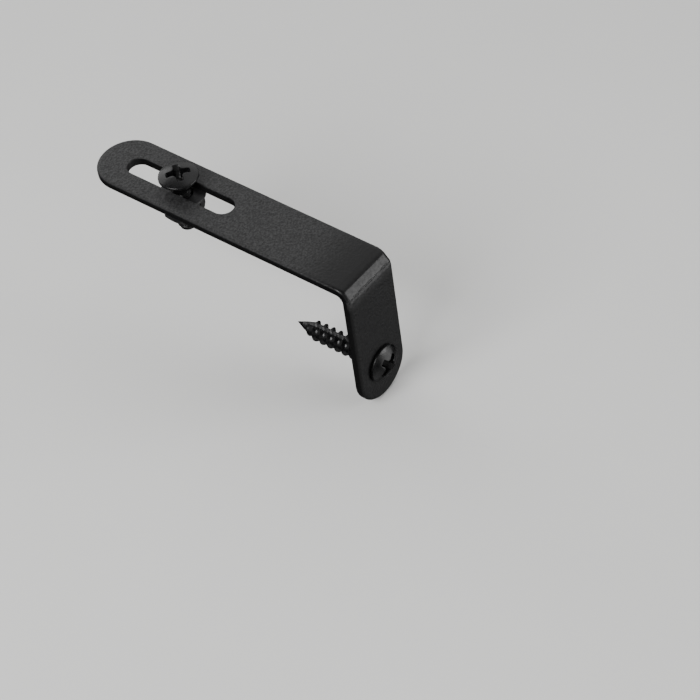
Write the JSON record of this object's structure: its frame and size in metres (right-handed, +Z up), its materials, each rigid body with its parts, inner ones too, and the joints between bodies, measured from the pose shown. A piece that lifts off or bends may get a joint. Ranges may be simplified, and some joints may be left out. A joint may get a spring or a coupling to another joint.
{
  "type": "guitar pickguard mounting bracket",
  "caption": "Bent steel strap that screws to a guitar's side and holds a pickguard's edge over its top, with a slotted arm, a guard screw, washers and a nut.",
  "frame": {"origin": "centre of the side screw's hole, on the back face of the leg that lies against the guitar's side", "axes": "+Y into the guitar's body, along the side screw and along the arm; +Z up from the side screw to the arm; +X across the strap"},
  "size_m": [0.01, 0.0504, 0.0272],
  "materials": {
    "powder_coat": "satin black powder coat, fine orange peel",
    "black_screw": "glossy black plated steel",
    "black_fixing": "satin black plated steel",
    "spring_steel": "blackened spring steel, slightly oily"
  },
  "bodies": {
    "bracket": {"bracket": "powder_coat"},
    "side_screw": {"side_screw": "black_screw"},
    "clamp_stack": {"flat_washer": "black_fixing", "lock_washer": "spring_steel"},
    "guard_screw": {"guard_screw": "black_screw"},
    "hex_nut": {"hex_nut": "black_fixing"}
  },
  "joints": [
    {"name": "side_screw_turn", "type": "hinge", "parent": "bracket", "child": "side_screw", "pos_m": [0, 0, 0], "axis": [0, 1, 0], "continuous": true},
    {"name": "slot_slide", "type": "slide", "parent": "bracket", "child": "clamp_stack", "axis": [0, 1, 0], "range_m": [-0.008, 0.008]},
    {"name": "guard_screw_turn", "type": "hinge", "parent": "clamp_stack", "child": "guard_screw", "pos_m": [0, 0.033, 0.0181], "axis": [0, 0, 1], "range_deg": [0, 1440]},
    {"name": "nut_travel", "type": "slide", "parent": "clamp_stack", "child": "hex_nut", "axis": [0, 0, -1], "range_m": [0, 0.002]}
  ],
  "couplings": [
    {"joint": "guard_screw_turn", "follows": "nut_travel", "rad_per_m": 12566}
  ]
}
